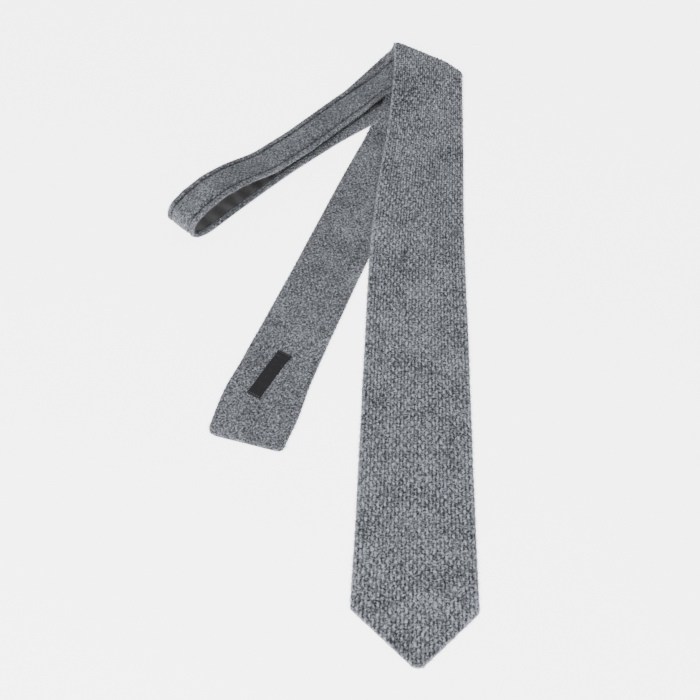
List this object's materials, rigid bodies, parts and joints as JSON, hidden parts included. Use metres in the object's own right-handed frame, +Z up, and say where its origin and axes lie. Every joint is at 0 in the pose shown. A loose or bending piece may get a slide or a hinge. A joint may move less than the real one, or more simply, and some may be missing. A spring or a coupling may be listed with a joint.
{
  "type": "knitted necktie",
  "caption": "Knitted cashmere necktie laid folded, with a pointed front blade, a lined neck band in an open loop and a square tail.",
  "frame": {"origin": "on the floor under the middle line of the front blade, where the blade is widest, on its flat underside", "axes": "+Y along the front blade from its point to the top crease, +X to the right seen from above, +Z up"},
  "size_m": [0.2346, 0.5671, 0.0287],
  "materials": {
    "grey_knit": "soft brushed cashmere knit in mixed greys",
    "neck_knit": "felted cashmere knit in mixed greys",
    "tail_knit": "felted cashmere knit in mixed greys",
    "lining_satin": "smooth dark grey satin with a low sheen",
    "label_tape": "dense black woven tape"
  },
  "bodies": {
    "root": {"front_blade": "grey_knit", "neck_band": "neck_knit", "tail_blade": "tail_knit", "neck_lining": "lining_satin", "care_label": "label_tape"}
  },
  "joints": []
}
